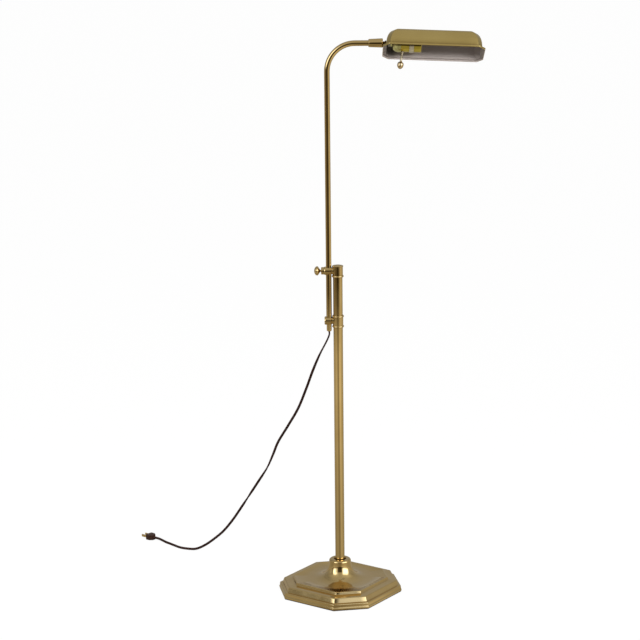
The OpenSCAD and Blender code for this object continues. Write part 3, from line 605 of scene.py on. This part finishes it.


# Reflector enamel, sprayed white and gone a little pink with age: soft and pale, with a dull gleam, fine
# spray grain, and a dark painted shadow round a point near the lampholder's cap, where the cap shades the
# inside
def reflectorEnamel(look, size):
    material, tree, output = newMaterial("reflectorEnamel")
    place = addNode(tree, "ShaderNodeTexCoord")
    spray = addNode(tree, "ShaderNodeTexNoise", {"Scale": 1 / (look["grain"] * mm), "Detail": 2.0},
                    {"Vector": place.outputs["Object"]})
    tone = addNode(tree, "ShaderNodeValToRGB", {}, {"Fac": spray.outputs["Fac"]})
    setStops(tone, [(0.0, linearColour(look["darkTone"])), (1.0, linearColour(look["lightTone"]))])
    # painted shadow: full within the first reach of that point, fading out by the second
    middle = inShadeFrame(size, np.array([look["cornerShadowPlace"]], float))[0].tolist()
    away = addNode(tree, "ShaderNodeVectorMath", {"operation": "DISTANCE", 1: middle},
                   {0: place.outputs["Object"]})
    fade, end = look["cornerShadowReach"]
    cornerShadowShare = addNode(tree, "ShaderNodeMapRange",
                    {"From Min": fade * mm, "From Max": end * mm, "To Min": look["cornerShadow"], "To Max": 0.0},
                    {"Value": away.outputs["Value"]})
    colour = addNode(tree, "ShaderNodeMix", {"data_type": "RGBA", 7: linearColour(look["cornerShadowTone"])},
                     {0: cornerShadowShare.outputs["Result"], 6: tone.outputs["Color"]})
    shader = addNode(tree, "ShaderNodeBsdfPrincipled", {"Metallic": 0.0, "Roughness": look["rough"]},
                     {"Base Color": colour.outputs[2]})
    tree.links.new(shader.outputs[0], output.inputs[0])
    return material


# Section of the shade's wall as inset, inset of the cut corners, and height: half an arch that turns into
# the brim and the lip. The arch is a quarter of an ellipse with its sine and cosine raised to a power.
def shadeSection(size):
    side = quarterRound((size["brim"], size["rim"]), (size["brim"] + size["crown"], size["height"]),
                        size["archSteps"], size["crownPower"])
    cornerSide = size["brim"] + (side[:, 0] - size["brim"]) * size["cornerCrown"] / size["crown"]
    arch = np.stack([side[:, 0], cornerSide, side[:, 1]], axis=1)[::-1]
    wall = np.array([size["wall"], size["wall"], -size["wall"]])
    lip = [(0, 0, size["rim"]), (0, 0, 0)]
    insideLip = [(size["wall"], size["wall"], 0), (size["wall"], size["wall"], size["rim"] - size["wall"])]
    return easedOutline(np.vstack([arch, lip, insideLip, arch[::-1] + wall]), size["step"], size["arris"])


# Each row is the plan's loop moved in by the section's insets, from the crown down over the lip and up
# inside. The first and last row lie on the ridge line, which closes the crown outside and inside.
def makeShade(size):
    inset, cutInset, height = shadeSection(size).T
    lip = int(np.argmin(height + 0.01 * inset))   # the lowest row, and the outer one where two are as low
    # a corner's radius is never more than half the width that is left
    corner = np.minimum(float(size["corner"]), np.maximum(size["plan"]["width"] / 2 - inset, 0))
    loops = cutCornerLoops(size["plan"], inset, cutInset, corner)
    ridge = (size["plan"]["length"] - size["plan"]["width"]) / 2
    ends = loops[[0, -1]] * [1, 0]
    ends[..., 0] = np.clip(ends[..., 0], -ridge, ridge)
    loops = np.concatenate([ends[:1], loops, ends[1:]])
    height = np.concatenate([height[:1], height, height[-1:]])
    middle = size["start"] + size["plan"]["length"] / 2
    points = inShadeFrame(size, atHeights(loops + [middle, 0], height - size["axisHeight"]))
    painted = np.arange(len(points) - 1) > lip + size["enamelFrom"]
    finish = [finishes["shade_brass"], reflectorEnamel(enamelLook, size)]
    shade = meshFromGrid("shade", points, finish, sharpAngle=30, rowMaterial=painted)
    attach(shade, "shade")
    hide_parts("shade_shell")


makeShade(shadeSize)
print("shade made")


# Switch stem

switchStem = {
    "place": (51.3, 0, -18.55),  # mm in the shade's frame, on the underside of the lampholder
    "lean": 6,                   # degrees
    # profile from inside the lampholder out to the knob: mm along the stem, radius
    "profile": [(-6, 0), (-6, 2), (0.6, 2), (0.7, 2.6), (1.9, 2.9), (3.0, 2.5), (4.0, 2.45), (14, 2.45),
                (15, 2.7), (16, 2.5), (20, 2.45), (22, 2.45), (22.9, 2.0), (27, 2), (27, 0)],
    "around": 32,                # points round the stem
}


# The profile is turned about the stem's axis: radius times the cosine and sine of the angle
def makeStem(size):
    along, radius = np.array(size["profile"], float).T
    angle = np.linspace(0, 2 * np.pi, size["around"], endpoint=False)
    points = np.stack([radius[:, None] * np.cos(angle), radius[:, None] * np.sin(angle),
                       along[:, None] + 0 * angle], axis=2)
    downwards = np.array(Matrix.Rotation(math.radians(180 + size["lean"]), 3, "Y"))
    points = inShadeFrame(shadeSize, points @ downwards.T + size["place"])
    stem = meshFromGrid("switchStem", points, [stemBrass], sharpAngle=35)
    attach(stem, "switch")
    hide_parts("switch_stem")


makeStem(switchStem)
print("stem turned")


# Studio

studio = {
    "floorSize": 60,           # metres across
    "floorTone": "#FCFCFB",    # paper as the camera sees it
    "floorGlow": 0.94,         # share of plain white in that
    "floorReturn": "#4E4B47",  # paper as the lamp's own light finds it, away from the lit middle
    "soft": (0.5, 0.95),       # level of the room's soft light at the horizon and overhead
    "roomGain": 4.5,           # strength that the room is shown with, more than its brightest light
    # shares of red, green and blue in a light
    "tints": {"plain": (1, 1, 1), "sky": (0.92, 1, 1.2), "cool": (0.97, 1, 1.08), "cream": (1, 1, 0.97),
              "warm": (1.02, 1, 0.93), "brown": (1.15, 1, 0.8), "paper": (1.07, 1, 0.84),
              "shaded": (1.12, 1, 0.77), "dark": (1.25, 1, 0.66), "black": (1.35, 1, 0.36)},
    # what metal sees around it: bearing in degrees from the camera's side, right positive, with the level
    # and the tint of the light from there. First the paper by the lamp, at two metres and past three and
    # a half, dimmest towards the camera,
    "floorNear": [(-180, 0.37, "paper"), (-123, 0.37, "paper"), (-80, 0.3, "paper"), (-56, 0.42, "paper"),
                  (-31, 0.37, "paper"), (-8, 0.25, "shaded"), (8, 0.25, "shaded"), (35, 0.53, "paper"),
                  (58, 0.55, "paper"), (85, 0.4, "paper"), (180, 0.37, "paper")],
    "floorMiddle": [(-180, 0.37, "paper"), (-123, 0.47, "paper"), (-80, 0.46, "paper"),
                    (-50, 0.65, "paper"), (-28, 0.5, "paper"), (-6, 0.3, "shaded"), (6, 0.3, "shaded"),
                    (24, 0.8, "paper"), (45, 0.85, "paper"), (68, 0.6, "paper"), (120, 0.43, "paper"),
                    (180, 0.37, "paper")],
    "floorFar": [(-180, 0.43, "paper"), (-120, 0.31, "paper"), (-92, 0.37, "paper"), (-80, 0.26, "shaded"),
                 (-66, 0.12, "dark"), (-32, 0.1, "dark"), (-8, 0.024, "black"), (8, 0.024, "black"),
                 (24, 0.1, "dark"), (36, 0.26, "shaded"), (56, 0.62, "paper"), (80, 0.62, "paper"),
                 (120, 0.43, "paper"), (180, 0.43, "paper")],
    # then the room just over the horizon, with a window on each side of the dark camera side, higher up
    # through the tops of the windows, on the walls over them and on the ceiling
    "roomLow": [(-180, 0.38, "plain"), (-120, 0.33, "cool"), (-104, 0.38, "cream"), (-88, 0.5, "cream"),
                (-76, 0.34, "cream"), (-67, 0.26, "cream"), (-62, 2.9, "sky"), (-50, 3.7, "sky"),
                (-43, 2, "sky"), (-25, 0.75, "plain"), (-18, 0.06, "brown"), (17, 0.06, "brown"),
                (22, 1.15, "sky"), (27, 2, "sky"), (34, 3.7, "sky"), (71, 3.7, "sky"), (84, 0.5, "cream"),
                (112, 0.38, "cream"), (180, 0.38, "plain")],
    "roomMiddle": [(-180, 0.38, "plain"), (-122, 0.3, "cool"), (-84, 0.38, "cream"), (-68, 0.3, "cream"),
                   (-60, 2.2, "sky"), (-43, 3.3, "sky"), (-25, 1, "sky"), (-14, 0.5, "warm"),
                   (14, 0.5, "warm"), (22, 1, "sky"), (32, 3.3, "sky"), (66, 3.3, "sky"),
                   (84, 0.5, "cream"), (112, 0.34, "cream"), (180, 0.38, "plain")],
    "roomHigh": [(-180, 0.42, "plain"), (-122, 0.3, "cool"), (-89, 0.46, "cream"), (-44, 0.66, "cream"),
                 (0, 0.46, "cream"), (45, 0.7, "cream"), (90, 0.66, "cream"), (130, 0.42, "plain"),
                 (180, 0.42, "plain")],
    "ceiling": [(-180, 0.48, "plain"), (180, 0.48, "plain")],
    # each layer takes over from the one before it between two values: metres from the lamp on the floor,
    # and in the room the rise of the ray, from 0 for level to 1 for straight up
    "floorLayers": [(0.3, 2.0, "floorMiddle"), (2.3, 3.6, "floorFar")],
    "roomLayers": [(-0.03, 0.11, "roomLow"), (0.29, 0.43, "roomMiddle"), (0.42, 0.74, "roomHigh"),
                   (0.76, 0.98, "ceiling")],
    # soft lamps: place, width and height in metres, power in watts
    "lamps": [((1.6, -2.6, 2.05), (1.1, 0.5), 52), ((-2.4, -1.8, 2.1), (1.1, 0.5), 46),
              ((1.5, -0.7, 3.3), (0.9, 0.8), 8), ((-1.5, -0.5, 3.3), (0.9, 0.8), 8)],
    "lampAim": (0.05, 0, 0.75),  # metres, the place that they face
}


# A tone by bearing: the angle from the camera's side, from the X and Y of a vector, drives a ramp, whose
# colours are each level times the shares of its tint, over the strength that the room is shown with
def bearingTone(tree, size, parts, name):
    away = addNode(tree, "ShaderNodeMath", {"operation": "MULTIPLY", 1: -1.0}, {0: parts.outputs["Y"]})
    angle = addNode(tree, "ShaderNodeMath", {"operation": "ARCTAN2"},
                    {0: parts.outputs["X"], 1: away.outputs[0]})
    share = addNode(tree, "ShaderNodeMapRange", {"From Min": -math.pi, "From Max": math.pi},
                    {"Value": angle.outputs[0]})
    ramp = addNode(tree, "ShaderNodeValToRGB", {}, {"Fac": share.outputs["Result"]})
    stops = []
    for degrees, level, tint in size[name]:
        colour = [level * part / size["roomGain"] for part in size["tints"][tint]] + [1.0]
        stops.append(((degrees + 180) / 360, colour))
    setStops(ramp, stops)
    return ramp.outputs["Color"]


# What metal sees: the first layer's tones, out of which each further layer comes up, on a smooth step,
# while the value goes from its low to its high
def layeredTone(tree, size, parts, value, first, layers):
    tone = bearingTone(tree, size, parts, first)
    for low, high, name in layers:
        share = addNode(tree, "ShaderNodeMapRange",
                        {"interpolation_type": "SMOOTHSTEP", "From Min": low, "From Max": high},
                        {"Value": value})
        mixed = addNode(tree, "ShaderNodeMix", {"data_type": "RGBA"},
                        {0: share.outputs["Result"], 6: tone, 7: bearingTone(tree, size, parts, name)})
        tone = mixed.outputs[2]
    return tone


# One shader for each kind of ray: seen by the camera, mirrored by metal or glass, and plain for the rest
def shaderByRay(tree, seen, mirrored, plain):
    path = addNode(tree, "ShaderNodeLightPath")
    shiny = addNode(tree, "ShaderNodeMath", {"operation": "MAXIMUM"},
                    {0: path.outputs["Is Glossy Ray"], 1: path.outputs["Is Transmission Ray"]})
    unseen = addNode(tree, "ShaderNodeMixShader", {},
                     {0: shiny.outputs[0], 1: plain.outputs[0], 2: mirrored.outputs[0]})
    whole = addNode(tree, "ShaderNodeMixShader", {},
                    {0: path.outputs["Is Camera Ray"], 1: unseen.outputs[0], 2: seen.outputs[0]})
    return whole.outputs[0]


# What surrounds the object is white to the camera, a soft dome to plain surfaces, and to metal a room
# that is dark towards the camera, with a window on each side
def makeWorld(size):
    world = bpy.data.worlds.new("studio")
    bpy.context.scene.world = world
    world.use_nodes = True
    tree = world.node_tree
    tree.nodes.clear()
    place = addNode(tree, "ShaderNodeTexCoord")
    parts = addNode(tree, "ShaderNodeSeparateXYZ", {}, {0: place.outputs["Generated"]})
    tone = layeredTone(tree, size, parts, parts.outputs["Z"], "floorFar", size["roomLayers"])
    rise = addNode(tree, "ShaderNodeMapRange", {"To Min": size["soft"][0], "To Max": size["soft"][1]},
                   {"Value": parts.outputs["Z"]})
    dome = addNode(tree, "ShaderNodeBackground", {"Color": (1, 1, 1, 1)},
                   {"Strength": rise.outputs["Result"]})
    room = addNode(tree, "ShaderNodeBackground", {"Strength": size["roomGain"]}, {"Color": tone})
    white = addNode(tree, "ShaderNodeBackground", {"Color": (1, 1, 1, 1), "Strength": 1.0})
    output = addNode(tree, "ShaderNodeOutputWorld")
    tree.links.new(shaderByRay(tree, white, room, dome), output.inputs[0])


# White paper that keeps the object's shadow. Metal sees it lit more from the right than from the front,
# and plain surfaces get little light back from it.
def makeFloor(size):
    half = size["floorSize"] / 2
    mesh = bpy.data.meshes.new("floor")
    corners = [(-half, -half, 0), (half, -half, 0), (half, half, 0), (-half, half, 0)]
    mesh.from_pydata(corners, [], [(0, 1, 2, 3)])
    floor = bpy.data.objects.new("floor", mesh)
    bpy.context.scene.collection.objects.link(floor)
    material, tree, output = newMaterial("paperSweep")
    place = addNode(tree, "ShaderNodeTexCoord")
    parts = addNode(tree, "ShaderNodeSeparateXYZ", {}, {0: place.outputs["Object"]})
    distance = addNode(tree, "ShaderNodeVectorMath", {"operation": "LENGTH"}, {0: place.outputs["Object"]})
    tone = layeredTone(tree, size, parts, distance.outputs["Value"], "floorNear", size["floorLayers"])
    paper = addNode(tree, "ShaderNodeBsdfDiffuse", {"Color": linearColour(size["floorTone"])})
    white = addNode(tree, "ShaderNodeEmission", {"Color": (1, 1, 1, 1), "Strength": 1.0})
    seen = addNode(tree, "ShaderNodeMixShader", {0: size["floorGlow"]},
                   {1: paper.outputs[0], 2: white.outputs[0]})
    mirrored = addNode(tree, "ShaderNodeEmission", {"Strength": size["roomGain"]}, {"Color": tone})
    returned = addNode(tree, "ShaderNodeBsdfDiffuse", {"Color": linearColour(size["floorReturn"])})
    tree.links.new(shaderByRay(tree, seen, mirrored, returned), output.inputs[0])
    mesh.materials.append(material)


# Large soft lamps, each turned to face the middle of the object and unseen in its metal
def makeLamps(size):
    for number, (place, (width, height), power) in enumerate(size["lamps"]):
        light = bpy.data.lights.new(f"softbox{number + 1}", "AREA")
        light.shape = "RECTANGLE"
        light.size, light.size_y = width, height
        light.energy = power
        lamp = bpy.data.objects.new(light.name, light)
        bpy.context.scene.collection.objects.link(lamp)
        lamp.location = place
        away = Vector(place) - Vector(size["lampAim"])
        lamp.rotation_euler = away.to_track_quat("Z", "Y").to_euler()
        lamp.visible_glossy = False


makeWorld(studio)
makeFloor(studio)
makeLamps(studio)
bpy.context.scene.view_settings.view_transform = "Standard"
print("studio lit")
